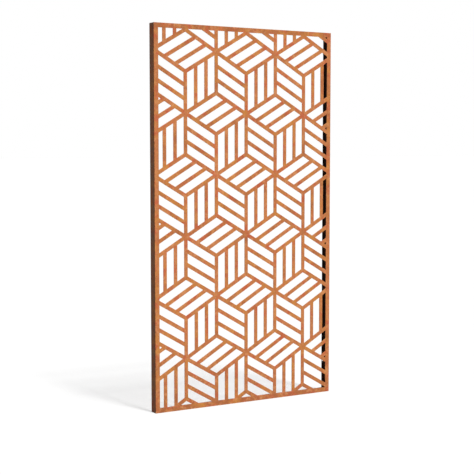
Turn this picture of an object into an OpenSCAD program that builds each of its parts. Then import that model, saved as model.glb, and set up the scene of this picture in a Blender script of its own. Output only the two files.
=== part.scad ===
// Free-standing screen: a laser-cut steel sheet with a tumbling-block pattern,
// carried by four folded channels that meet in mitres.
// The origin is on the floor, under the middle of the panel. X runs to the right,
// Y from the patterned face to the back, Z up.

/* [Panel] */
// Width of the panel
panel_w = 978; // [760:2:1400]
// Height of the panel, which stands on its bottom channel
panel_h = 1800; // [1200:10:2400]

/* [Laser-cut sheet] */
// Thickness of the sheet
sheet_t = 2; // [1.5:0.5:4]
// Width of the plain border round the pattern
border_w = 22; // [21:1:50]

/* [Cube pattern] */
// Width of one cube, which is also the distance between neighbouring cubes
cube_w = 328; // [240:1:420]
// Length of a cube's upright edge
cube_edge = 191.5; // [150:0.5:260]
// Width of the bars that the slots leave standing
bar_w = 18.5; // [10:0.5:26]
// Number of bars across each face of a cube
bars_per_face = 2; // [1:1:4]
// Distance from the top edge down to the first row of six-armed joints
first_joint = 120; // [40:1:280]

/* [Folded channels] */
// Depth of a channel from its front flange to its back lip
channel_d = 46; // [32:1:70]
// Thickness of the folded steel
channel_t = 2; // [1.5:0.5:4]
// Inside radius of the folds
bend_r = 1.5; // [1:0.5:3]
// Width of the back lip
lip_w = 13; // [13:1:40]
// How far the front flange stays back from the edge of the pattern
flange_reveal = 5; // [2:0.5:5]

/* [Weld studs, washers and nuts] */
// Diameter of the studs welded to the back of the sheet
stud_d = 5; // [4:1:5]
// Length of the studs
stud_len = 12; // [12:1:18]
// Diameter of the flange at the foot of a stud
stud_foot_d = 6.5; // [6:0.5:7]
// Thickness of the flange at the foot of a stud
stud_foot_t = 0.8; // [0.5:0.1:1.5]
// Distance from a panel corner to the nearest stud
stud_inset = 60; // [45:5:150]
// Largest distance between neighbouring studs
stud_pitch = 300; // [150:10:500]
// Gap round a stud's foot in its hole
stud_gap = 0.3; // [0.2:0.1:0.5]
// Outside diameter of the washers
washer_d = 10; // [9:0.5:11]
// Thickness of the washers
washer_t = 1; // [0.5:0.5:1.5]
// Gap round a stud in its washer
washer_gap = 0.15; // [0.1:0.05:0.3]
// Width of the nuts across their flats
nut_af = 8; // [7:0.5:9]
// Height of the nuts
nut_h = 4; // [3:0.5:5]
// Gap between a stud or screw and the thread that it runs in
thread_gap = 0.05; // [0.02:0.01:0.1]

/* [Corner plates and screws] */
// Length of each arm of a corner plate, from the panel corner
plate_arm = 100; // [80:5:160]
// Thickness of the corner plates
plate_t = 4; // [3:1:8]
// Gap between a corner plate and the folds beside it
plate_gap = 0.3; // [0.2:0.1:1]
// Distance from the end of an arm to its outer screw
screw_end = 12; // [8:1:20]
// Distance between the two screws of an arm
screw_pitch = 45; // [20:1:50]
// Diameter of the screws
screw_d = 4; // [3:0.5:5]
// Diameter of the countersunk heads
screw_head_d = 7.5; // [6:0.5:10]
// Length of the screws with their heads
screw_len = 6; // [6:1:14]
// Gap round a screw where it passes the lip
screw_gap = 0.1; // [0.05:0.05:0.2]
// Width of the screws' hexagon socket across its flats
socket_af = 2.5; // [2:0.5:3]
// Depth of the screws' hexagon socket
socket_deep = 1.5; // [1:0.1:2]

/* [Fixing and drain holes] */
// Diameter of the holes in the back lips for fixing the panel to posts or a wall
fixing_d = 5.5; // [4:0.5:6.5]
// Distance from the end of a corner plate to the nearest fixing hole
fixing_off = 50; // [15:5:200]
// Diameter of the drain holes in the bottom channel
drain_d = 8; // [5:1:12]
// Number of drain holes
drain_count = 4; // [2:1:8]

/* [Hidden] */
$fn = 48;
panel_d = sheet_t + channel_d;
front_y = -panel_d / 2;               // the patterned face
channel_y = front_y + sheet_t;        // the front flanges, against the sheet
back_y = channel_y + channel_d;       // the back lips
lip_y = back_y - channel_t;           // the inner face of the back lips
flange_w = border_w - flange_reveal;
fold_r = bend_r + channel_t;          // outside radius of the folds
side_reach = max(flange_w, lip_w) + 1;
stud_hole_d = stud_foot_d + 2 * stud_gap;
stud_line = (fold_r + flange_w) / 2;  // middle of the front flange's flat
screw_line = (fold_r + lip_w) / 2;    // middle of the back lip's flat
screw_stations = [plate_arm - screw_end, plate_arm - screw_end - screw_pitch];
screw_head_h = (screw_head_d - screw_d) / 2;   // a 90 degree countersink
fixing_at = plate_arm + fixing_off;
cut = 1;                              // how far a cutting shape runs past a face

// Cube lattice, in the plane of the sheet: x to the right, z up
half_cube = cube_w / 2;
row_pitch = 1.5 * cube_edge;
rising = [half_cube, cube_edge / 2];  // along a cube's edge, up to the right
falling = [half_cube, -cube_edge / 2];
upright = [0, -cube_edge];
columns = ceil(panel_w / cube_w / 2) + 1;
rows = ceil(panel_h / row_pitch) + 1;
window = [[-panel_w / 2 + border_w, border_w], [panel_w / 2 - border_w, panel_h - border_w]];

steel_rust = "#c88258";
steel_shaded = "#8f5a3c";
steel_dark = "#4a3226";
zinc = "#a9a9a4";

// ---- Laser-cut sheet ----

// Six-armed joints alternate from row to row; this is joint i of row j.
function joint(i, j) = [
    (2 * i + (j % 2 == 0 ? 1 : 0)) * half_cube,
    panel_h - first_joint - j * row_pitch
];

// Distance between the two sides of a face that run along a, per unit of c
function face_span(a, c) = abs(cross(a, c)) / norm(a);

// Slot k of a cube's face that starts at corner o. The slots run along a and
// are stacked along c, with half a bar kept back on each side.
function slot(o, a, c, k) =
    let (
        ends = bar_w / 2 / face_span(c, a),
        sides = bar_w / 2 / face_span(a, c),
        low = k / (bars_per_face + 1) + sides,
        high = (k + 1) / (bars_per_face + 1) - sides
    )
    [o + a * ends + c * low, o + a * (1 - ends) + c * low,
     o + a * (1 - ends) + c * high, o + a * ends + c * high];

// True where a slot reaches into the window inside the border
function in_window(p) =
    min([for (q = p) q.x]) < window[1].x && max([for (q = p) q.x]) > window[0].x &&
    min([for (q = p) q.y]) < window[1].y && max([for (q = p) q.y]) > window[0].y;

module face_slots(o, a, c) {
    for (k = [0 : bars_per_face]) {
        outline = slot(o, a, c, k);
        if (in_window(outline)) polygon(outline);
    }
}

// The top, left and right faces of the cube to the lower right of a joint
module cube_slots(o) {
    face_slots(o, rising, falling);
    face_slots(o, falling, upright);
    face_slots(o + falling, upright, rising);
}

module pattern() {
    for (j = [-1 : rows], i = [-columns : columns]) cube_slots(joint(i, j));
}

module screen_sheet() {
    color(steel_rust)
    translate([0, channel_y, 0]) rotate([90, 0, 0])
    linear_extrude(sheet_t) difference() {
        translate([-panel_w / 2, 0]) square([panel_w, panel_h]);
        intersection() {
            translate(window[0]) square(window[1] - window[0]);
            pattern();
        }
    }
}

// ---- Folded channels ----
// A side of the frame is drawn along X, centred, with its web on z = 0 and its
// open side up, and is then turned into its place.

module place_bottom() children();
module place_top() translate([0, 0, panel_h]) rotate([0, 180, 0]) children();
module place_left() translate([-panel_w / 2, 0, panel_h / 2]) rotate([0, 90, 0]) children();
module place_right() translate([panel_w / 2, 0, panel_h / 2]) rotate([0, -90, 0]) children();

// A quarter of a folded corner, in the quadrant towards -x, -y
module fold() {
    intersection() {
        difference() {
            circle(fold_r);
            circle(bend_r);
        }
        translate([-fold_r, -fold_r]) square(fold_r);
    }
}

// Section of a channel: x inwards from the web, y from the front flange back
module channel_section() {
    translate([0, fold_r]) square([channel_t, channel_d - 2 * fold_r]);
    translate([fold_r, 0]) square([flange_w - fold_r, channel_t]);
    translate([fold_r, channel_d - channel_t]) square([lip_w - fold_r, channel_t]);
    translate([fold_r, fold_r]) fold();
    translate([fold_r, channel_d - fold_r]) mirror([0, 1]) fold();
}

// Keeps the part of a side that lies between the mitres at its two ends
module mitre_zone(length) {
    translate([0, back_y + cut, 0]) rotate([90, 0, 0]) linear_extrude(channel_d + 2 * cut)
    polygon([
        [-length / 2 - cut, -cut], [length / 2 + cut, -cut],
        [length / 2 - side_reach, side_reach], [-length / 2 + side_reach, side_reach]
    ]);
}

module plain_side(length) {
    intersection() {
        translate([length / 2, channel_y, 0]) rotate([0, -90, 0])
            linear_extrude(length) channel_section();
        mitre_zone(length);
    }
}

// Places a child at every stud of a side, with z pointing away from the sheet
module at_studs(length) {
    span = length - 2 * stud_inset;
    gaps = ceil(span / stud_pitch);
    for (n = [0 : gaps])
        translate([-span / 2 + n * span / gaps, channel_y, stud_line]) rotate([-90, 0, 0])
            children();
}

// Places a child at every corner screw of a side, with z pointing out of the back
module at_screws(length) {
    for (end = [-1, 1], station = screw_stations)
        translate([end * (length / 2 - station), back_y, screw_line]) rotate([-90, 0, 0])
            children();
}

module side(length) {
    difference() {
        plain_side(length);
        at_studs(length) translate([0, 0, -cut]) cylinder(d = stud_hole_d, h = channel_t + 2 * cut);
        at_screws(length) screw_hole();
    }
}

// Clearance hole and countersink through the lip, from the back face down
module screw_hole() {
    translate([0, 0, -channel_t - cut]) cylinder(d = screw_d + 2 * screw_gap, h = channel_t + 2 * cut);
    translate([0, 0, -screw_head_h]) cylinder(
        d1 = screw_d + 2 * screw_gap, d2 = screw_head_d + 2 * screw_gap, h = screw_head_h);
}

module stile() {
    difference() {
        side(panel_h);
        for (end = [-1, 1])
            translate([end * (panel_h / 2 - fixing_at), back_y + cut, screw_line])
                rotate([90, 0, 0]) cylinder(d = fixing_d, h = channel_t + 2 * cut);
    }
}

module left_stile() {
    color(steel_shaded) place_left() stile();
}

module right_stile() {
    color(steel_shaded) place_right() stile();
}

module top_rail() {
    color(steel_shaded) place_top() side(panel_w);
}

module bottom_rail() {
    drain_step = panel_w / drain_count;
    color(steel_shaded) place_bottom() difference() {
        side(panel_w);
        for (n = [0.5 : drain_count])
            translate([-panel_w / 2 + n * drain_step, channel_y + channel_d / 2, -cut])
                cylinder(d = drain_d, h = channel_t + 2 * cut);
    }
}

// ---- Corner plates ----
// An L of flat steel inside each corner, against the back lips. It is drawn for
// the bottom left corner, from the corner of the panel.

module corner_plate() {
    heel = fold_r + plate_gap;
    translate([0, lip_y, 0]) rotate([90, 0, 0]) linear_extrude(plate_t) difference() {
        polygon([
            [heel, heel], [plate_arm, heel], [plate_arm, lip_w],
            [lip_w, lip_w], [lip_w, plate_arm], [heel, plate_arm]
        ]);
        for (station = screw_stations) {
            translate([station, screw_line]) circle(d = screw_d + 2 * thread_gap);
            translate([screw_line, station]) circle(d = screw_d + 2 * thread_gap);
        }
    }
}

module corner_plate_bottom_left() {
    color(steel_dark) translate([-panel_w / 2, 0, 0]) corner_plate();
}

module corner_plate_bottom_right() {
    mirror([1, 0, 0]) corner_plate_bottom_left();
}

module corner_plate_top_left() {
    translate([0, 0, panel_h]) mirror([0, 0, 1]) corner_plate_bottom_left();
}

module corner_plate_top_right() {
    mirror([1, 0, 0]) corner_plate_top_left();
}

// ---- Fasteners ----

// Countersunk screw with its head flush with z = 0 and its shank towards -z
module screw() {
    difference() {
        union() {
            translate([0, 0, -screw_len]) cylinder(d = screw_d, h = screw_len - screw_head_h);
            translate([0, 0, -screw_head_h]) cylinder(d1 = screw_d, d2 = screw_head_d, h = screw_head_h);
        }
        translate([0, 0, -socket_deep]) cylinder(d = socket_af / cos(30), h = socket_deep + cut, $fn = 6);
    }
}

module corner_screws() {
    color(zinc) {
        place_bottom() at_screws(panel_w) screw();
        place_top() at_screws(panel_w) screw();
        place_left() at_screws(panel_h) screw();
        place_right() at_screws(panel_h) screw();
    }
}

// Threaded stud, welded by its foot to the back of the sheet
module stud() {
    cylinder(d = stud_foot_d, h = stud_foot_t);
    cylinder(d = stud_d, h = stud_len);
}

module washer() {
    translate([0, 0, channel_t]) difference() {
        cylinder(d = washer_d, h = washer_t);
        translate([0, 0, -cut]) cylinder(d = stud_d + 2 * washer_gap, h = washer_t + 2 * cut);
    }
}

module nut() {
    translate([0, 0, channel_t + washer_t]) difference() {
        cylinder(d = nut_af / cos(30), h = nut_h, $fn = 6);
        translate([0, 0, -cut]) cylinder(d = stud_d + 2 * thread_gap, h = nut_h + 2 * cut);
    }
}

// Repeats a child at every stud of the four sides
module at_all_studs() {
    place_bottom() at_studs(panel_w) children();
    place_top() at_studs(panel_w) children();
    place_left() at_studs(panel_h) children();
    place_right() at_studs(panel_h) children();
}

module weld_studs() {
    color(zinc) at_all_studs() stud();
}

module stud_washers() {
    color(zinc) at_all_studs() washer();
}

module stud_nuts() {
    color(zinc) at_all_studs() nut();
}

screen_sheet();
left_stile();
right_stile();
top_rail();
bottom_rail();
corner_plate_bottom_left();
corner_plate_bottom_right();
corner_plate_top_left();
corner_plate_top_right();
corner_screws();
weld_studs();
stud_washers();
stud_nuts();
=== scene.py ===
from math import ceil, pi, radians, tan

import bmesh
import bpy
import numpy as np
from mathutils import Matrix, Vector
from mathutils.geometry import delaunay_2d_cdt


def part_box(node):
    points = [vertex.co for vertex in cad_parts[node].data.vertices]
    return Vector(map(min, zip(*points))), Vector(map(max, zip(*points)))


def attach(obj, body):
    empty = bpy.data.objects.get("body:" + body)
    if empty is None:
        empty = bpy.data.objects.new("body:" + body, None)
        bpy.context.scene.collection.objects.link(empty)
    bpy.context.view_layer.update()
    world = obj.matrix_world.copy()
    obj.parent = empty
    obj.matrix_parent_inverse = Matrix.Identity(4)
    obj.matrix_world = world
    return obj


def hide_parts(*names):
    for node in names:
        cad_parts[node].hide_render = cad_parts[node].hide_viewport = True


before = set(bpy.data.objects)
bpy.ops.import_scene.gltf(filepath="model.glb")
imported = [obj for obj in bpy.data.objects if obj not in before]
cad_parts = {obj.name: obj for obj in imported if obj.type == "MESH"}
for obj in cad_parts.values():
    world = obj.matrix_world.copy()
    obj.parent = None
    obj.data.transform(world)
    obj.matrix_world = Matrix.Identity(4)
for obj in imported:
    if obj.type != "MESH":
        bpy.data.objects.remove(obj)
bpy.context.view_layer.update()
mm = 0.001
rng = np.random.default_rng(41)


# Lowest and highest corner of a CAD node, in mm.
def boxOf(node):
    return np.round(np.array(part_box(node)) / mm, 3)


halfWidth, top = boxOf("screen_sheet")[1][[0, 2]]
print("frame loaded:", len(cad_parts), "CAD nodes")

# The photograph looks at the panel from its left, a little above its middle.
view = {
    "place": (-2.8069, -4.7109, 1.2278),
    "turn": -30.451,       # degrees about the upright; 0 looks along +Y
    "down": 4.429,         # degrees below the horizon
    "lens": 86.48, "sensor": 36,            # mm
    "nearest": 0.05, "farthest": 500,       # m
}
cameraData = bpy.data.cameras.new("camera")
cameraData.lens, cameraData.sensor_width = view["lens"], view["sensor"]
cameraData.clip_start, cameraData.clip_end = view["nearest"], view["farthest"]
camera = bpy.data.objects.new("camera", cameraData)
camera.location = view["place"]
camera.rotation_euler = (radians(90 - view["down"]), 0, radians(view["turn"]))
bpy.context.scene.collection.objects.link(camera)
bpy.context.scene.camera = camera
bpy.context.scene.view_settings.view_transform = "Standard"
print("camera placed")


# sRGB hex to linear RGBA: a channel c is c/12.92 below 0.04045, else ((c+0.055)/1.055)^2.4.
def toLinear(hexColour):
    channels = [int(hexColour[i:i + 2], 16) / 255 for i in (1, 3, 5)]
    return tuple(c / 12.92 if c <= 0.04045 else ((c + 0.055) / 1.055) ** 2.4 for c in channels) + (1.0,)


# One shader node. Its settings are properties, and its links go to its inputs, by name or by
# number among those in use. A link is a value, a hex colour, a socket, or a node, which stands
# for its first output in use.
def addNode(tree, kind, settings, links):
    node = tree.nodes.new("ShaderNode" + kind)
    for name, value in settings.items():
        setattr(node, name, value)
    numbered = [socket for socket in node.inputs if socket.enabled]
    for name, source in links.items():
        socket = node.inputs[name] if isinstance(name, str) else numbered[name]
        if isinstance(source, bpy.types.Node):
            source = next(output for output in source.outputs if output.enabled)
        if isinstance(source, bpy.types.NodeSocket):
            tree.links.new(source, socket)
        else:
            socket.default_value = toLinear(source) if isinstance(source, str) else source
    return node


# A new material, with nothing in its node tree.
def newMaterial(name):
    material = bpy.data.materials.new(name)
    material.use_nodes = True
    material.node_tree.nodes.clear()
    return material, material.node_tree


# A tall soft key from the front, high and a little to the right, made of three lamps one
# above the other, and a fill without shadows from behind, so that the back reads as
# clearly as the front. Each is placed by the direction towards it.
lighting = {
    "keyFrom": ((0.0794, -0.5314, 0.8434), (0.0843, -0.4141, 0.9063), (0.0897, -0.3130, 0.9455)),
    "keyPower": 2.01,      # of each lamp
    "keySpread": 6,        # degrees: how soft the shadow's edge is
    "fillFrom": (0.45, 0.75, 0.48),
    "fillPower": 2.9,
    "fillSpread": 30,
    "ambient": 0.15,
    "distance": 4,         # m: where the lamps are drawn, which changes nothing in their light
}


# A lamp as far off as the sun, which shines from the side that source points to.
def addSun(name, source, power, wide, castsShadow):
    sun = bpy.data.lights.new(name, "SUN")
    sun.energy = power
    sun.angle = radians(wide)
    sun.use_shadow = castsShadow
    lamp = bpy.data.objects.new(name, sun)
    lamp.rotation_mode = "QUATERNION"
    lamp.rotation_quaternion = Vector(source).to_track_quat("Z", "Y")
    lamp.location = Vector(source) * lighting["distance"]
    bpy.context.scene.collection.objects.link(lamp)


for source in lighting["keyFrom"]:
    addSun("key", source, lighting["keyPower"], lighting["keySpread"], True)
addSun("fill", lighting["fillFrom"], lighting["fillPower"], lighting["fillSpread"], False)


# 1 where a ray comes straight from the camera, off gloss or through glass, and 0 otherwise.
def seenDirectly(tree):
    path = addNode(tree, "LightPath", {}, {}).outputs
    seen = path["Is Camera Ray"]
    for other in ("Is Glossy Ray", "Is Transmission Ray"):
        seen = addNode(tree, "Math", {"operation": "MAXIMUM"}, {0: seen, 1: path[other]})
    return seen


# White all round for the camera, with only a little light from it on the panel.
world = bpy.data.worlds.new("studio")
bpy.context.scene.world = world
world.use_nodes = True
tree = world.node_tree
tree.nodes.clear()
dim = addNode(tree, "Background", {}, {"Color": "#ffffff", "Strength": lighting["ambient"]})
white = addNode(tree, "Background", {}, {"Color": "#ffffff", "Strength": 1})
shown = addNode(tree, "MixShader", {}, {0: seenDirectly(tree), 1: dim, 2: white})
addNode(tree, "OutputWorld", {}, {"Surface": shown})

# White studio floor. The camera sees it lifted to white with the panel's soft
# shadow left in it, and the panel gets only a little light back from it.
floorPaper = {
    "halfSize": 120,       # m, far enough to reach the horizon
    "shade": 0.1915,       # how strongly the shadow shows
    "lift": 0.5775,        # the glow that brings the rest up to white
    "bounce": 0.12,        # how bright the panel finds it
}
floorMaterial, tree = newMaterial("studio_floor")
paper = addNode(tree, "BsdfDiffuse", {}, {"Color": (floorPaper["shade"],) * 3 + (1,)})
glow = addNode(tree, "Emission", {}, {"Color": "#ffffff", "Strength": floorPaper["lift"]})
lifted = addNode(tree, "AddShader", {}, {0: paper, 1: glow})
bounce = addNode(tree, "BsdfDiffuse", {}, {"Color": (floorPaper["bounce"],) * 3 + (1,)})
shown = addNode(tree, "MixShader", {}, {0: seenDirectly(tree), 1: bounce, 2: lifted})
addNode(tree, "OutputMaterial", {}, {"Surface": shown})

reach = floorPaper["halfSize"]
floorMesh = bpy.data.meshes.new("floor")
floorMesh.from_pydata([(-reach, -reach, 0), (reach, -reach, 0), (reach, reach, 0), (-reach, reach, 0)],
                      [], [(0, 1, 2, 3)])
floorMesh.materials.append(floorMaterial)
floor = bpy.data.objects.new("floor", floorMesh)
bpy.context.scene.collection.objects.link(floor)
print("studio lit")


# Noise with features of a size in mm. It runs from 0 at the noise value start to its most at
# the value end, and nearly all noise lies from 0.3 to 0.7. Each seed gives other spots.
def spots(tree, place, size, start=0.3, end=0.7, most=1, seed=0, detail=5, rough=0.6):
    noise = addNode(tree, "TexNoise", {"noise_dimensions": "4D"},
                    {"Vector": place, "W": seed, "Scale": 1 / (size * mm),
                     "Detail": detail, "Roughness": rough})
    return addNode(tree, "MapRange", {}, {"Value": noise, "From Min": start, "From Max": end, "To Max": most})


# 1 at the height near, falling to 0 at the height far, times the most.
def heightZone(tree, place, near, far, most):
    height = addNode(tree, "SeparateXYZ", {}, {0: place}).outputs["Z"]
    return addNode(tree, "MapRange", {},
                   {"Value": height, "From Min": far * mm, "From Max": near * mm, "To Max": most})


# The colour times a shade, which goes from the first to the second of two values with a texture.
def shaded(tree, colour, texture, shades):
    shade = addNode(tree, "MapRange", {}, {"Value": texture, "To Min": shades[0], "To Max": shades[1]})
    return addNode(tree, "VectorMath", {"operation": "SCALE"}, {0: colour, 1: shade})


# A metal's last nodes: a bump of a strength and a depth in mm, under a Principled shader.
def addSurface(tree, height, relief, finish):
    strength, depth = relief
    bump = addNode(tree, "Bump", {}, {"Strength": strength, "Distance": depth * mm, "Height": height})
    shader = addNode(tree, "BsdfPrincipled", {}, {**finish, "Normal": bump})
    addNode(tree, "OutputMaterial", {}, {"Surface": shader})


# Weathering steel, left out in the rain until its rust closed into a skin: an even orange brown at arm's
# length, and up close a dry crust with darker clouds, paler blooms, redder flecks, faint runs where water
# came down and dark pits. The top and bottom borders are browner, and the panel is browner towards the
# ground. Sizes and heights are in mm, and spots are (size, start, end, most).
patina = {
    "skin": "#c67b4b", "brownTone": "#9e5b39",
    "layers": (("#a36037", (75, 0.47, 0.66, 0.75)),   # darker clouds
               ("#cd8740", (52, 0.46, 0.62, 0.80)),   # ochre clouds
               ("#c35d40", (34, 0.50, 0.64, 0.80)),   # redder flecks
               ("#db9864", (17, 0.50, 0.68, 0.70)),   # faint blooms
               ("#75412a", (5, 0.61, 0.70, 0.85))),   # dark pits
    "runWidth": 9, "runLength": 320, "runShade": (0.92, 1.06),
    "grainSize": 2.6, "grainShade": (0.84, 1.16),
    "gritSize": 0.8, "gritShade": (0.88, 1.10), "gritShare": 0.35,
    "roughness": (0.96, 0.80),    # in the grain's hollows and on its crests
    "relief": (0.8, 0.25), "specular": 0.2,
    # How far in from the top and bottom edges the browner zone is full and ends, and how
    # high a fainter one reaches up from the ground.
    "brownFull": 18, "brownEnd": 30, "brownTop": 0.5, "brownBottom": 0.6, "footEnd": 420, "footMost": 0.45,
}


# The patina's colour, roughness and height, laid on from the broad clouds to the fine grit.
def patinaLayers(tree, place):
    full, end = patina["brownFull"], patina["brownEnd"]
    low = heightZone(tree, place, full, end, patina["brownBottom"])
    high = heightZone(tree, place, top - full, top - end, patina["brownTop"])
    foot = heightZone(tree, place, 0, patina["footEnd"], patina["footMost"])
    borders = addNode(tree, "Math", {"operation": "MAXIMUM"}, {0: low, 1: high})
    brownZones = addNode(tree, "Math", {"operation": "MAXIMUM"}, {0: borders, 1: foot})
    colour = addNode(tree, "Mix", {"data_type": "RGBA"}, {0: brownZones, 1: patina["skin"], 2: patina["brownTone"]})
    for seed, (tone, form) in enumerate(patina["layers"], 1):
        cover = spots(tree, place, *form, seed=seed)
        colour = addNode(tree, "Mix", {"data_type": "RGBA"}, {0: cover, 1: colour, 2: tone})
    across, down = 1 / patina["runWidth"], 1 / patina["runLength"]
    stretched = addNode(tree, "Mapping", {}, {"Vector": place, "Scale": (across, across, down)})
    runs = spots(tree, stretched, 1)    # a run is 1 mm wide and long in the stretched place
    grain = spots(tree, place, patina["grainSize"], seed=6)
    grit = spots(tree, place, patina["gritSize"], seed=7, detail=1)
    colour = shaded(tree, colour, runs, patina["runShade"])
    colour = shaded(tree, colour, grain, patina["grainShade"])
    colour = shaded(tree, colour, grit, patina["gritShade"])
    hollow, crest = patina["roughness"]
    roughness = addNode(tree, "MapRange", {}, {"Value": grain, "To Min": hollow, "To Max": crest})
    height = addNode(tree, "Mix", {}, {0: patina["gritShare"], 1: grain, 2: grit})
    return colour, roughness, height


# The laser leaves its cut walls ribbed across the thickness, under a thinner, browner rust. Along the eased
# edges the crust is thin, and it is painted brighter there as an edge highlight. The real ribs are 0.3 mm
# apart, drawn coarser to show.
laserCut = {
    # rim: partly a thinner crust, partly a painted highlight along the eased edges
    "wall": "#935a37", "rim": "#dd9350", "rimHighlightSpots": (6, 0.35, 0.60, 0.70),
    "ribSize": 0.9, "ribShade": (0.75, 1.2),
    "wallBelow": 0.2, "rimBelow": 0.97,    # the size of a face's normal along Y
}


def makeSheetSteel():
    material, tree = newMaterial("weathering_steel_laser_cut")
    place = addNode(tree, "TexCoord", {}, {}).outputs["Object"]
    colour, roughness, crust = patinaLayers(tree, place)
    normal = addNode(tree, "NewGeometry", {}, {}).outputs["True Normal"]
    alongY = addNode(tree, "SeparateXYZ", {}, {0: normal}).outputs["Y"]
    level = addNode(tree, "Math", {"operation": "ABSOLUTE"}, {0: alongY})
    onWall = addNode(tree, "Math", {"operation": "LESS_THAN"}, {0: level, 1: laserCut["wallBelow"]})
    onRim = addNode(tree, "Math", {"operation": "LESS_THAN"}, {0: level, 1: laserCut["rimBelow"]})
    flattened = addNode(tree, "Mapping", {}, {"Vector": place, "Scale": (1, 0, 1)})
    ribs = spots(tree, flattened, laserCut["ribSize"], detail=1)
    ribbed = shaded(tree, toLinear(laserCut["wall"])[:3], ribs, laserCut["ribShade"])
    # Painted highlight: patches of a brighter orange along the eased edges, where the crust is thin.
    rimPatches = spots(tree, place, *laserCut["rimHighlightSpots"], seed=8)
    rimHighlight = addNode(tree, "Math", {"operation": "MULTIPLY"}, {0: onRim, 1: rimPatches})
    base = addNode(tree, "Mix", {"data_type": "RGBA"}, {0: rimHighlight, 1: colour, 2: laserCut["rim"]})
    base = addNode(tree, "Mix", {"data_type": "RGBA"}, {0: onWall, 1: base, 2: ribbed})
    height = addNode(tree, "Mix", {}, {0: onWall, 1: crust, 2: ribs})
    addSurface(tree, height, patina["relief"],
               {"Base Color": base, "Roughness": roughness, "Specular IOR Level": patina["specular"]})
    return material


# The folded channels are a greyer brown than the sheet outside: painted sheen, grey mixed in to stand in for
# the neutral light that their shaded sides reflect. Their inside is painted a near-black brown with browner
# blotches, as painted shade for the hollow of the channel.
foldedSteel = {
    # painted sheen: grey mixed into the patina outside, for the neutral light that the channels' shaded sides
    # reflect
    "grey": "#8a786e", "sheenGreySpots": (60, 0.3, 0.7, 0.8),
    # painted shade: the near-black brown of the channels' inside, and its browner blotches
    "scale": "#231a16", "shadeBlotch": "#4a2c1d", "shadeBlotchSpots": (22, 0.50, 0.68),
    # Near the ground the painted shade of the inside gives way to the patina, in a ragged zone up to this
    # height.
    "shadeFadeEnd": 45, "shadeFadeMost": 2.0, "shadeFadeSpots": (12, 0.35, 0.65),
}


def makeChannelSteel():
    material, tree = newMaterial("weathering_steel_folded")
    place = addNode(tree, "TexCoord", {}, {}).outputs["Object"]
    colour, roughness, crust = patinaLayers(tree, place)
    # Painted sheen: grey mixed into the patina outside, for the neutral light that shaded sides reflect.
    sheenCover = spots(tree, place, *foldedSteel["sheenGreySpots"], seed=9)
    outside = addNode(tree, "Mix", {"data_type": "RGBA"}, {0: sheenCover, 1: colour, 2: foldedSteel["grey"]})
    # Painted shade: the inside is a near-black brown with browner blotches, for the shade in the channel's
    # hollow.
    shadeBlotch = spots(tree, place, *foldedSteel["shadeBlotchSpots"], seed=10)
    scale = addNode(tree, "Mix", {"data_type": "RGBA"},
                    {0: shadeBlotch, 1: foldedSteel["scale"], 2: foldedSteel["shadeBlotch"]})
    # Near the ground the painted shade gives way to the patina, in a ragged zone.
    low = heightZone(tree, place, 0, foldedSteel["shadeFadeEnd"], foldedSteel["shadeFadeMost"])
    ragged = spots(tree, place, *foldedSteel["shadeFadeSpots"], seed=11)
    shadeFaded = addNode(tree, "Math", {"operation": "MULTIPLY", "use_clamp": True}, {0: low, 1: ragged})
    scale = addNode(tree, "Mix", {"data_type": "RGBA"}, {0: shadeFaded, 1: scale, 2: colour})
    # The painted shade goes on the faces that each channel marks as its inside.
    insideShade = addNode(tree, "Attribute", {"attribute_name": "insideShade"}, {}).outputs["Fac"]
    base = addNode(tree, "Mix", {"data_type": "RGBA"}, {0: insideShade, 1: outside, 2: scale})
    addSurface(tree, crust, patina["relief"],
               {"Base Color": base, "Roughness": roughness, "Specular IOR Level": patina["specular"]})
    return material


# Hot-rolled flat bar, cut to an L: smooth grey-black scale, with rust starting in patches.
flatBar = {
    "scale": "#2f2825", "rust": "#7a4527", "rustSpots": (9, 0.50, 0.62),
    "roughness": (0.45, 0.90), "relief": (0.6, 0.1), "specular": 0.35,
}


def makePlateSteel():
    material, tree = newMaterial("hot_rolled_flat_bar")
    place = addNode(tree, "TexCoord", {}, {}).outputs["Object"]
    rust = spots(tree, place, *flatBar["rustSpots"])
    base = addNode(tree, "Mix", {"data_type": "RGBA"}, {0: rust, 1: flatBar["scale"], 2: flatBar["rust"]})
    smooth, rough = flatBar["roughness"]
    roughness = addNode(tree, "MapRange", {}, {"Value": rust, "To Min": smooth, "To Max": rough})
    addSurface(tree, rust, flatBar["relief"],
               {"Base Color": base, "Roughness": roughness, "Specular IOR Level": flatBar["specular"]})
    return material


# Bright zinc plating, a few microns thick: a cool satin metal, dulled by rust that washed down on it.
zincPlating = {
    "metal": "#b9bcbe", "dull": "#8f9294", "dullSpots": (1.2, 0.35, 0.65),
    "stain": "#9a5c37", "stainSpots": (3.5, 0.52, 0.66),
    "roughness": (0.36, 0.85), "relief": (0.4, 0.03),
}


def makeZinc():
    material, tree = newMaterial("zinc_plated_steel")
    place = addNode(tree, "TexCoord", {}, {}).outputs["Object"]
    stain = spots(tree, place, *zincPlating["stainSpots"])
    dull = spots(tree, place, *zincPlating["dullSpots"], seed=1)
    metal = addNode(tree, "Mix", {"data_type": "RGBA"},
                    {0: dull, 1: zincPlating["metal"], 2: zincPlating["dull"]})
    base = addNode(tree, "Mix", {"data_type": "RGBA"}, {0: stain, 1: metal, 2: zincPlating["stain"]})
    smooth, rough = zincPlating["roughness"]
    roughness = addNode(tree, "MapRange", {}, {"Value": stain, "To Min": smooth, "To Max": rough})
    bare = addNode(tree, "MapRange", {}, {"Value": stain, "To Min": 1, "To Max": 0})    # rust isn't metal
    addSurface(tree, dull, zincPlating["relief"],
               {"Base Color": base, "Metallic": bare, "Roughness": roughness})
    return material


sheetSteel = makeSheetSteel()
channelSteel = makeChannelSteel()
plateSteel = makePlateSteel()
zinc = makeZinc()
print("materials made")

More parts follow.
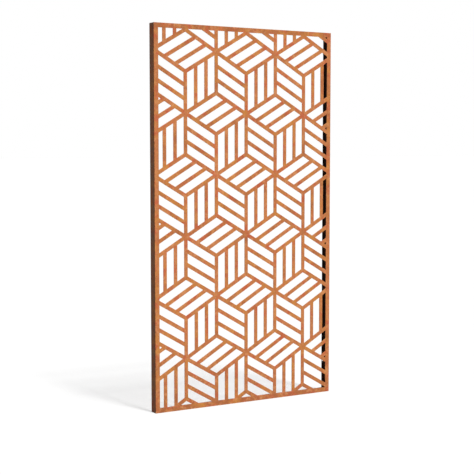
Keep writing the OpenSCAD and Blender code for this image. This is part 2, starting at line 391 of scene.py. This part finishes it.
sameSpot = 0.001     # mm: corners closer than this are one
sharpFrom = 50       # degrees between two faces
roundHole = 40       # points round a hole


# Quads between neighbouring rings of points. Each ring closes on itself.
def wall(rings):
    rows, points = rings.shape[:2]
    here = np.arange(points) + np.arange(rows - 1)[:, None] * points
    beside = np.roll(here, -1, axis=1)
    faces = np.stack([here, beside, beside + points, here + points], axis=-1)
    return rings.reshape(-1, 3), faces.reshape(-1, 4)


# One flat face inside a ring of points.
def cap(ring):
    return ring, np.arange(len(ring))[None]


# Triangles that fill the first outline around the others, which are its holes, as seen in the
# plane of two axes. Those with all three corners on one hole lie in it, and are left out.
def fill(outlines, axes):
    corners = np.vstack(outlines)
    lengths = np.array([len(outline) for outline in outlines])
    ends = np.cumsum(lengths)
    here = np.arange(ends[-1])
    following = here + 1
    following[ends - 1] = ends - lengths
    edges = np.stack([here, following], axis=1)
    insideOnly = 1   # the output that leaves out what lies past the outer outline
    found = delaunay_2d_cdt(corners[:, axes].tolist(), edges.tolist(), [], insideOnly, sameSpot)
    source = np.array([sources[0] for sources in found[3]])
    triangles = source[np.array(found[2])]
    owner = np.repeat(np.arange(len(outlines)), lengths)[triangles]
    inHole = (owner.min(axis=1) == owner.max(axis=1)) & (owner[:, 0] > 0)
    return corners, triangles[~inHole]


# A piece from patches of its surface, each its corners in mm and its faces. Corners in one
# spot become one, and faces turn outwards.
def addPiece(name, patches, material, replaced):
    starts = np.cumsum([0] + [len(patch[0]) for patch in patches])
    faces = [face for start, patch in zip(starts, patches) for face in (patch[1] + start).tolist()]
    mesh = bpy.data.meshes.new(name)
    mesh.from_pydata((np.vstack([patch[0] for patch in patches]) * mm).tolist(), [], faces)
    solid = bmesh.new()
    solid.from_mesh(mesh)
    bmesh.ops.remove_doubles(solid, verts=solid.verts, dist=sameSpot * mm)
    bmesh.ops.recalc_face_normals(solid, faces=solid.faces)
    solid.to_mesh(mesh)
    solid.free()
    mesh.materials.append(material)
    mesh.shade_smooth()
    mesh.set_sharp_from_angle(angle=radians(sharpFrom))
    piece = bpy.data.objects.new(name, mesh)
    bpy.context.scene.collection.objects.link(piece)
    piece.modifiers.new("flat faces stay flat", "WEIGHTED_NORMAL").keep_sharp = True
    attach(piece, "root")
    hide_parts(replaced)
    return piece


# Steps from the corners of a closed outline to its left: the sum S of the left normals of the
# two edges that meet there, times 2 / |S|^2, keeps every edge parallel to itself.
def stepsLeft(outline):
    along = np.roll(outline, -1, axis=0) - outline
    along = along / np.linalg.norm(along, axis=1)[:, None]
    left = np.stack([-along[:, 1], along[:, 0]], axis=1)
    total = left + np.roll(left, 1, axis=0)
    return 2 * total / (total ** 2).sum(axis=1)[:, None]


# Half the sum of the cross products of neighbouring corners: above 0 for an anticlockwise outline.
def area(outline):
    x, z = outline.T
    return (x * np.roll(z, -1) - np.roll(x, -1) * z).sum() / 2


# The points of a circle: its centre, plus its radius times (cos a, sin a).
def circle(centre, radius):
    angle = np.arange(roundHole) * 2 * pi / roundHole
    return np.array(centre) + radius * np.stack([np.cos(angle), np.sin(angle)], axis=1)


# A flat plate with rounded rims, from its outline and its holes'. At an angle a of a rim, an
# outline is carried into the plate by ease (1 - sin a) and away from a face by ease (1 - cos a).
def easedPlate(outlines, front, back, ease):
    angle = np.radians([0, 45, 90])
    inwards, deeper = ease * (1 - np.sin(angle)), ease * (1 - np.cos(angle))
    inset = np.concatenate([inwards, inwards[::-1]])[:, None, None]
    depth = np.concatenate([front + deeper, back - deeper[::-1]])[:, None]
    rims = []
    for order, outline in enumerate(outlines):
        side = 1 if (area(outline) > 0) == (order == 0) else -1
        flat = outline + side * stepsLeft(outline) * inset
        rims.append(np.stack([flat[..., 0], depth + np.zeros(len(outline)), flat[..., 1]], axis=-1))
    faces = [fill([rim[end] for rim in rims], [0, 2]) for end in (0, -1)]
    return [wall(rim) for rim in rims] + faces


# The sheet, in mm. Its slots leave bars of one width, which draw stacked cubes.
sheet = {
    "border": 22, "cubeWidth": 328, "cubeEdge": 191.5, "barWidth": 18.5, "barsPerFace": 2,
    "firstJoint": 120,     # from the top down to the first row of joints with six arms
    "sliver": 1,           # mm2: what the border leaves of a slot isn't cut, if it's smaller
    "ease": 0.25,          # how far the rust has rounded the laser's rims
}


# The part of a convex outline where side * (limit - coordinate) isn't below 0.
def clipped(outline, axis, limit, side):
    ahead = np.roll(outline, -1, axis=0)
    room, roomAhead = side * (limit - outline[:, axis]), side * (limit - ahead[:, axis])
    share = room / np.where(room == roomAhead, 1, room - roomAhead)
    crossings = outline + (ahead - outline) * share[:, None]
    keep = np.stack([room >= 0, room * roomAhead < 0], axis=1).ravel()
    return np.stack([outline, crossings], axis=1).reshape(-1, 2)[keep]


# How far one vector reaches across another: the size of their cross product over the other's.
def span(along, across):
    return abs(along[0] * across[1] - along[1] * across[0]) / np.linalg.norm(along)


# Each joint carries three faces of a cube. Slots run along one side of a face and are stacked
# along the other, and each keeps half a bar back all round. The border trims them.
def slotOutlines():
    rising = np.array([sheet["cubeWidth"], sheet["cubeEdge"]]) / 2
    falling, upright = rising * (1, -1), np.array([0, -sheet["cubeEdge"]])
    rowPitch = 1.5 * sheet["cubeEdge"]   # an upright edge and what a slanted one rises
    columns, rows = ceil(halfWidth / sheet["cubeWidth"]) + 1, ceil(top / rowPitch) + 1
    row, column = np.mgrid[-1:rows, -columns:columns + 1]
    joints = np.stack([(2 * column + 1 - row % 2) * rising[0],
                       top - sheet["firstJoint"] - row * rowPitch], axis=-1).reshape(-1, 1, 2)
    halfBar, slots = sheet["barWidth"] / 2, sheet["barsPerFace"] + 1
    found = []
    for start, along, across in ((0, rising, falling), (0, falling, upright), (falling, upright, rising)):
        end, side = halfBar / span(across, along), halfBar / span(along, across)
        u = np.array([end, 1 - end, 1 - end, end])[:, None]
        for slot in range(slots):
            low, high = slot / slots + side, (slot + 1) / slots - side
            v = np.array([low, low, high, high])[:, None]
            found.extend(joints + start + u * along + v * across)
    border = sheet["border"]
    for axis, limit, side in ((0, halfWidth - border, 1), (0, border - halfWidth, -1),
                              (1, top - border, 1), (1, border, -1)):
        found = [clipped(outline, axis, limit, side) for outline in found]
        found = [outline for outline in found if len(outline) > 2 and abs(area(outline)) > sheet["sliver"]]
    return found


slots = slotOutlines()
panel = np.array([(-halfWidth, 0), (halfWidth, 0), (halfWidth, top), (-halfWidth, top)])
front, back = boxOf("screen_sheet")[:, 1]
addPiece("sheet", easedPlate([panel] + slots, front, back, sheet["ease"]), sheetSteel,
         "screen_sheet")
print("sheet cut:", len(slots), "slots")

# A folded channel, in mm, with its holes given by their radii.
channel = {
    "thickness": 2, "lip": 13,
    "fold": 3.5,           # the radius outside a fold
    "ease": 0.35,          # how far rust has rounded the cut edges
    "rim": 0.2,            # and chamfered the holes
    "foldPoints": 9, "edgePoints": 4,
    "studHole": 3.55, "studInset": 60, "mostPitch": 300,    # from the panel's corner, then apart
    "screwHole": 2.1, "countersink": 3.85,
    "screwEnd": 12, "screwPitch": 45,                       # back from the end of a plate's arm
    "fixingHole": 2.75, "fixingOffset": 50,                 # on from that end
    "drainHole": 4, "drains": 4,
    # How much painted shade darkens each channel's inside: the bottom channel gets none.
    "insideShadeAmount": {"left_stile": 1, "right_stile": 1, "top_rail": 1, "bottom_rail": 0},
}
stileLow, stileHigh = boxOf("left_stile")
plateLow, plateHigh = boxOf("corner_plate_bottom_left")
channelFront, channelBack = stileLow[1], stileHigh[1]
flange = stileHigh[0] - stileLow[0]
heel, arm = plateLow[2], plateHigh[2]

# Rows of holes run along the middle of a flat: the front flange's, the back lip's and the web's.
studLine = (channel["fold"] + flange) / 2
screwLine = (channel["fold"] + channel["lip"]) / 2
drainLine = (channelFront + channelBack) / 2
screwStations = [arm - channel["screwEnd"] - channel["screwPitch"], arm - channel["screwEnd"]]


# The studs of a side, from its middle: spaced alike, no more than the most pitch apart.
def studPlaces(half):
    reach = half - channel["studInset"]
    return np.linspace(-reach, reach, ceil(2 * reach / channel["mostPitch"]) + 1)


# The screws of a side, from its middle, at their stations from both its ends.
def screwPlaces(half):
    return [end * (half - station) for end in (-1, 1) for station in screwStations]


# A channel's section is a closed chain of arcs (centre, radius, start, end), joined by flats:
# out along the front flange, the web and the back lip, and home along the inside. With it
# comes where each flat starts, outside and inside.
def channelSection():
    thickness, fold, ease, lip = channel["thickness"], channel["fold"], channel["ease"], channel["lip"]
    front, back = channelFront, channelBack
    arcs = ((flange - ease, front + ease, ease, 0, -90),
            (fold, front + fold, fold, -90, -180),
            (fold, back - fold, fold, 180, 90),
            (lip - ease, back - ease, ease, 90, 0),
            (lip - ease, back - thickness + ease, ease, 0, -90),
            (fold, back - fold, fold - thickness, 90, 180),
            (fold, front + fold, fold - thickness, -180, -90),
            (flange - ease, front + thickness - ease, ease, 90, 0))
    chain = []
    for z, y, radius, start, end in arcs:
        points = channel["edgePoints"] if radius == ease else channel["foldPoints"]
        angle = np.radians(np.linspace(start, end, points))
        chain.append(np.stack([y + radius * np.sin(angle), z + radius * np.cos(angle)], axis=1))
    ends = np.cumsum([len(arc) for arc in chain]) - 1
    return np.vstack(chain), {"flange": ends[[0, 6]], "web": ends[[1, 5]], "lip": ends[[2, 4]]}


# A hole's profile is a list of (radius, depth), from its flat's outer face to its inner one.
def plainHole(radius, outer, inner):
    rim = channel["rim"]
    deeper = rim * np.sign(inner - outer)
    return [(radius + rim, outer), (radius, outer + deeper), (radius, inner - deeper), (radius + rim, inner)]


# The same with a 90 degree countersink, which sinks as far as it widens, and rims half as wide.
def sunkHole(outer, inner):
    radius, wide, rim = channel["screwHole"], channel["countersink"], channel["rim"] / 2
    return [(wide + rim, outer), (wide, outer - rim), (radius, outer - (wide - radius)),
            (radius, inner + rim), (radius + rim, inner)]


# The holes of each flat of a side: (place from the side's middle, profile).
def holesOf(side, half):
    front, back, thickness = channelFront, channelBack, channel["thickness"]
    studHole = plainHole(channel["studHole"], front, front + thickness)
    screwHole = sunkHole(back, back - thickness)
    holes = {"flange": [(x, studHole) for x in studPlaces(half)],
             "lip": [(x, screwHole) for x in screwPlaces(half)]}
    if side.endswith("stile"):
        fixing = half - arm - channel["fixingOffset"]
        fixingHole = plainHole(channel["fixingHole"], back, back - thickness)
        holes["lip"] += [(x, fixingHole) for x in (-fixing, fixing)]
    if side == "bottom_rail":
        drain, count = plainHole(channel["drainHole"], 0, thickness), channel["drains"]
        holes["web"] = [((2 * n + 1 - count) * half / count, drain) for n in range(count)]
    return holes


# A hole's rings: circles round (x, line), at their depths along the axis that it goes through.
def holeRings(x, line, through, profile):
    rings = np.zeros((len(profile), roundHole, 3))
    for ring, (radius, depth) in zip(rings, profile):
        ring[:, [0, 3 - through]] = circle((x, line), radius)
        ring[:, through] = depth
    return rings


# A channel lies along X, with Y from front to back and its web on Z = 0. Its section ends in
# two mitres, x = half - z, and is eased there. A flat with holes is filled round them.
def foldedChannel(half, holes):
    section, flats = channelSection()
    ease = channel["ease"]
    eased = section + stepsLeft(section) * ease * np.sign(area(section))
    full, end = half - section[:, 1] - ease, half - eased[:, 1]
    rings = np.array([np.column_stack([x, shape])
                      for x, shape in ((-end, eased), (-full, section), (full, section), (end, eased))])
    corners, faces = wall(rings)
    solid = np.ones((3, len(section)), bool)
    for flat in holes:
        solid[1, flats[flat]] = False
    patches = [(corners, faces[solid.ravel()]), cap(rings[0]), cap(rings[3])]
    for flat, wanted in holes.items():
        through = 2 if flat == "web" else 1
        line = {"flange": studLine, "lip": screwLine, "web": drainLine}[flat]
        tubes = [holeRings(x, line, through, profile) for x, profile in wanted]
        patches += [wall(tube) for tube in tubes]
        for face, start in zip((0, -1), flats[flat]):
            outline = rings[[1, 1, 2, 2], [start, start + 1, start + 1, start]]
            patches.append(fill([outline] + [tube[face] for tube in tubes], [0, 3 - through]))
    return patches


# Where a side's middle is, and which way its X and Z run, all as (x, z) of the panel.
sides = {
    "bottom_rail": ((0, 0), (1, 0), (0, 1)),
    "top_rail": ((0, top), (-1, 0), (0, -1)),
    "left_stile": ((-halfWidth, top / 2), (0, -1), (1, 0)),
    "right_stile": ((halfWidth, top / 2), (0, 1), (-1, 0)),
}


# A side's own points, in the panel's place: the middle, plus x and z times its directions.
def placed(points, side):
    middle, along, inwards = np.array(sides[side])
    flat = middle + points[:, :1] * along + points[:, 2:] * inwards
    return np.stack([flat[:, 0], points[:, 1], flat[:, 1]], axis=1)


# A face gets the painted shade of the channel's inside where its normal points at the line along the middle
# of the channel's mouth, as much as its side is given.
def markInsideShade(mesh, side):
    mouth = placed(np.array([(0, drainLine, (flange + channel["lip"]) / 2)]), side) * mm
    count = len(mesh.polygons)
    centres, normals = np.zeros(count * 3), np.zeros(count * 3)
    mesh.polygons.foreach_get("center", centres)
    mesh.polygons.foreach_get("normal", normals)
    away = centres.reshape(-1, 3) - mouth
    away[:, 0 if side.endswith("rail") else 2] = 0
    inside = (away * normals.reshape(-1, 3)).sum(axis=1) < 0
    amount = inside * np.float32(channel["insideShadeAmount"][side])
    mesh.attributes.new("insideShade", "FLOAT", "FACE").data.foreach_set("value", amount)


for side in sides:
    half = halfWidth if side.endswith("rail") else top / 2
    patches = [(placed(corners, side), faces) for corners, faces in foldedChannel(half, holesOf(side, half))]
    piece = addPiece(side + "_channel", patches, channelSteel, side)
    markInsideShade(piece.data, side)
print("channels folded")

# Corner plates, in mm: an L with two tapped holes in each arm, drawn from the panel's corner.
plate = {
    "hole": 2.05,
    "ease": 0.4,           # how far its sawn edges are broken
}
width = channel["lip"]
bent = np.array([(heel, heel), (arm, heel), (arm, width), (width, width), (width, arm), (heel, arm)])
tapped = [circle(place, plate["hole"]) for station in screwStations
          for place in ((station, screwLine), (screwLine, station))]
for turn, corner, across in ((1, -halfWidth, "left"), (-1, halfWidth, "right")):
    for rise, base, level in ((1, 0, "bottom"), (-1, top, "top")):
        node = "corner_plate_" + level + "_" + across
        outlines = [(corner, base) + outline * (turn, rise) for outline in [bent] + tapped]
        patches = easedPlate(outlines, plateLow[1], plateHigh[1], plate["ease"])
        addPiece(node + "_bar", patches, plateSteel, node)
print("corner plates cut")


# Places at the same stations along all four sides, line mm in from the panel's edge.
def alongSides(line, placesOf, depth):
    rails = [(x, depth, z) for x in placesOf(halfWidth) for z in (line, top - line)]
    stiles = [(x, depth, z + top / 2) for z in placesOf(top / 2)
              for x in (line - halfWidth, halfWidth - line)]
    return rails + stiles


# Rings of plain circles, from (radius, depth) pairs.
def circles(profile, points):
    radius, depth = np.array(profile, float).T[:, :, None]
    return radius + np.zeros(points), depth + np.zeros(points)


# The radii of one ring of a hexagon, flats across: half its width over the cosine of the angle
# from the middle of the nearest flat.
def hexagon(width, points):
    fromFlat = np.arange(points) * 2 * pi / points % (pi / 3) - pi / 6
    return width / 2 / np.cos(fromFlat)


# Rings along one pitch of a thread, and the parts of its height that are cut flat.
thread = {"rings": 8, "rootFlat": 0.08, "crestFlat": 0.12}


# A thread is one ridge that climbs a pitch a turn. The height of a point over the root, 0 to 1
# and back along a pitch, gives straight flanks, with the crest and the root cut flat.
def threadRings(start, end, fastener):
    points, pitch, low = fastener["points"], fastener["pitch"], thread["rootFlat"]
    rings = round(thread["rings"] * (end - start) / pitch) + 1
    depth = np.linspace(start, end, rings)[:, None] + np.zeros(points)
    height = np.abs((depth / pitch - np.arange(points) / points) % 1 - 0.5) * 2
    flank = np.clip((height - low) / (1 - low - thread["crestFlat"]), 0, 1)
    return fastener["outside"] - fastener["ridge"] * (1 - flank), depth


# Rings under rings, each a pair of arrays: radii and depths.
def stacked(*rings):
    return np.vstack([radius for radius, depth in rings]), np.vstack([depth for radius, depth in rings])


# Fasteners stand along +Y, each turned its own way. Point k of n is at the angle 2 pi k / n. A
# rod has flat caps, and a tube's last ring is joined to its first.
def addFasteners(name, rings, isTube, places, replaced):
    radius, depth = rings
    patches = []
    for place, turn in zip(places, rng.uniform(0, 2 * pi, len(places))):
        angle = np.arange(radius.shape[1]) * 2 * pi / radius.shape[1] + turn
        points = np.stack([radius * np.cos(angle), depth, -radius * np.sin(angle)], axis=-1) + place
        if isTube:
            patches.append(wall(np.concatenate([points, points[:1]])))
        else:
            patches += [wall(points), cap(points[0]), cap(points[-1])]
    addPiece(name, patches, zinc, replaced)


arcMiddle = 1 - 0.5 ** 0.5   # how far in from its corner a quarter circle's middle is, in radii

stud = {
    "foot": 3.25, "footHeight": 0.8, "footEdge": 0.2,
    "collar": 0.5,         # weld metal round the neck
    "neck": 2.1, "neckHeight": 6.3, "runOut": 0.2,
    "outside": 2.5, "pitch": 0.8, "ridge": 0.44, "tip": 1.8, "points": 24,
}


# A welded stud: a flanged foot, a concave collar of weld metal, a plain neck, then the thread,
# cut by a 45 degree cone at its tip.
def studRings(length):
    foot, high, edge = stud["foot"], stud["footHeight"], stud["footEdge"]
    neck, collar, hollow = stud["neck"], stud["collar"], stud["collar"] * arcMiddle
    below = circles([(foot - edge, 0), (foot, edge), (foot, high - edge), (foot - edge, high),
                     (neck + collar, high), (neck + hollow, high + hollow), (neck, high + collar),
                     (neck, stud["neckHeight"])], stud["points"])
    radius, depth = threadRings(stud["neckHeight"] + stud["runOut"], length, stud)
    return stacked(below, (np.minimum(radius, stud["tip"] + length - depth), depth))


base, end = boxOf("weld_studs")[:, 1]
addFasteners("threaded_studs", studRings(end - base), False, alongSides(studLine, studPlaces, base),
             "weld_studs")

washer = {"outside": 5, "hole": 2.65, "edge": 0.15, "round": 0.25, "points": 36}


# A plain washer: the press that stamped it has rounded its upper rim.
def washerRings(thick):
    wide, hole, edge, bend = washer["outside"], washer["hole"], washer["edge"], washer["round"]
    middle = bend * arcMiddle
    return circles([(wide - edge, 0), (wide, edge), (wide, thick - bend), (wide - middle, thick - middle),
                    (wide - bend, thick), (hole + edge, thick), (hole, thick - edge), (hole, edge),
                    (hole + edge, 0)], washer["points"])


base, end = boxOf("stud_washers")[:, 1]
addFasteners("plain_washers", washerRings(end - base), True, alongSides(studLine, studPlaces, base),
             "stud_washers")

nut = {
    "width": 8, "face": 3.8, "points": 48,
    "chamfer": 30, "chamferRings": 5,     # degrees to the round face at either end
    "bore": 2.55, "countersink": 0.4,
}


# A nut: a hexagon whose corners a flat cone has taken off at both ends, with a countersunk bore.
def nutRings(tall):
    steep, bore, sunk = 1 / tan(radians(nut["chamfer"])), nut["bore"], nut["countersink"]
    corner = nut["width"] / 3 ** 0.5
    fromEnd = np.linspace(0, (corner - nut["face"]) / steep, nut["chamferRings"])
    depth = np.concatenate([fromEnd, tall - fromEnd[::-1]])[:, None] + np.zeros(nut["points"])
    cone = nut["face"] + np.minimum(depth, tall - depth) * steep
    outside = np.minimum(hexagon(nut["width"], nut["points"]), cone)
    inside = circles([(bore + sunk, tall), (bore, tall - sunk), (bore, sunk), (bore + sunk, 0)],
                     nut["points"])
    return stacked((outside, depth), inside)


base, end = boxOf("stud_nuts")[:, 1]
addFasteners("hexagon_nuts", nutRings(end - base), True, alongSides(studLine, studPlaces, base),
             "stud_nuts")

screw = {
    "outside": 2, "pitch": 0.7, "ridge": 0.36, "threadLength": 3.9, "tip": 1.4, "points": 24,
    "head": 3.75, "edge": 0.1,
    "socket": 2.5, "socketDepth": 1.5,
    "drill": 1.1, "drillEnd": 0.3, "drillDepth": 0.4,     # the drill's mark in the socket's floor
}


# A countersunk screw: the thread, cut by a 45 degree cone at its tip, a 90 degree head, and a
# hexagon socket down to the mark of its drill.
def screwRings(length):
    shank, head, edge, points = screw["outside"], screw["head"], screw["edge"], screw["points"]
    bottom = length - screw["socketDepth"]
    radius, depth = threadRings(0, screw["threadLength"], screw)
    cone = circles([(shank, length - (head - shank)), (head, length - edge), (head - edge, length)], points)
    socket = hexagon(screw["socket"], points) + np.array([edge, 0, 0])[:, None]
    socketDepth = np.array([length, length - edge, bottom])[:, None] + np.zeros(points)
    mark = circles([(screw["drill"], bottom), (screw["drillEnd"], bottom - screw["drillDepth"])], points)
    return stacked((np.minimum(radius, screw["tip"] + depth), depth), cone, (socket, socketDepth), mark)


base, end = boxOf("corner_screws")[:, 1]
addFasteners("countersunk_screws", screwRings(end - base), False,
             alongSides(screwLine, screwPlaces, base), "corner_screws")
print("fasteners made")
